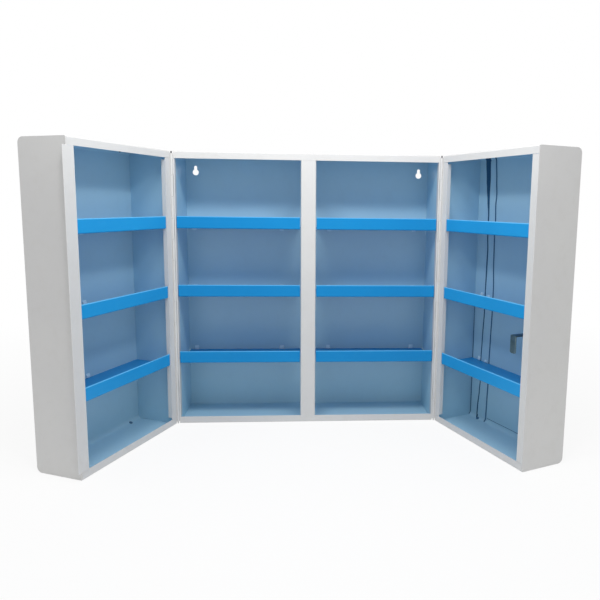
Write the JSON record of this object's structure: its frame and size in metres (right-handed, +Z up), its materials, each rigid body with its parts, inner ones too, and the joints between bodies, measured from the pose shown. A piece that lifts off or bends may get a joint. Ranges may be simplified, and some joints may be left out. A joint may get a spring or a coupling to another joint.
{
  "type": "medicine cabinet",
  "caption": "Wall-hung steel medicine cabinet with two deep hinged doors, open bays behind, blue tray shelves in bays and doors, and a key lock.",
  "frame": {"origin": "on the back face, midway between the entry holes of the two hanging keyholes", "axes": "+X to the right of someone facing the cabinet, +Y towards the wall, +Z up"},
  "size_m": [0.7932, 0.3237, 0.482],
  "materials": {
    "white_enamel": "satin",
    "blue_enamel": "satin",
    "pin_steel": "drawn",
    "lock_chrome": "polished",
    "zinc_steel": "zinc plated"
  },
  "bodies": {
    "cabinet": {"cabinet_back_panel": "white_enamel", "cabinet_top_panel": "white_enamel", "cabinet_bottom_panel": "white_enamel", "cabinet_left_side": "white_enamel", "cabinet_right_side": "white_enamel", "centre_mullion": "white_enamel", "left_bay_shelf_lower": "blue_enamel", "left_bay_shelf_middle": "blue_enamel", "left_bay_shelf_upper": "blue_enamel", "right_bay_shelf_lower": "blue_enamel", "right_bay_shelf_middle": "blue_enamel", "right_bay_shelf_upper": "blue_enamel", "left_hinge_body_leaf": "white_enamel", "left_hinge_pin": "pin_steel", "right_hinge_body_leaf": "white_enamel", "right_hinge_pin": "pin_steel"},
    "left_door": {"left_door_panel": "white_enamel", "left_door_hinge_side": "white_enamel", "left_door_free_side": "white_enamel", "left_door_cover_strip": "white_enamel", "left_hinge_door_leaf": "white_enamel", "left_door_shelf_lower": "blue_enamel", "left_door_shelf_middle": "blue_enamel", "left_door_shelf_upper": "blue_enamel"},
    "right_door": {"right_door_panel": "white_enamel", "right_door_hinge_side": "white_enamel", "right_door_free_side": "white_enamel", "right_door_strap": "white_enamel", "right_hinge_door_leaf": "white_enamel", "right_door_shelf_lower": "blue_enamel", "right_door_shelf_middle": "blue_enamel", "right_door_shelf_upper": "blue_enamel", "lock_housing": "lock_chrome", "lock_nut": "zinc_steel"},
    "lock_cam": {"lock_plug": "lock_chrome", "lock_hook": "zinc_steel", "lock_screw": "zinc_steel"}
  },
  "joints": [
    {"name": "left_door_hinge", "type": "hinge", "parent": "cabinet", "child": "left_door", "pos_m": [-0.2327, -0.1011, 0], "axis": [0, 0, -1], "range_deg": [-112, 68]},
    {"name": "right_door_hinge", "type": "hinge", "parent": "cabinet", "child": "right_door", "pos_m": [0.2327, -0.1011, 0], "axis": [0, 0, 1], "range_deg": [-112, 68]},
    {"name": "lock_turn", "type": "hinge", "parent": "right_door", "child": "lock_cam", "pos_m": [0.3104, -0.29048, -0.254], "axis": [-0.9272, -0.3746, 0], "range_deg": [0, 90]}
  ]
}
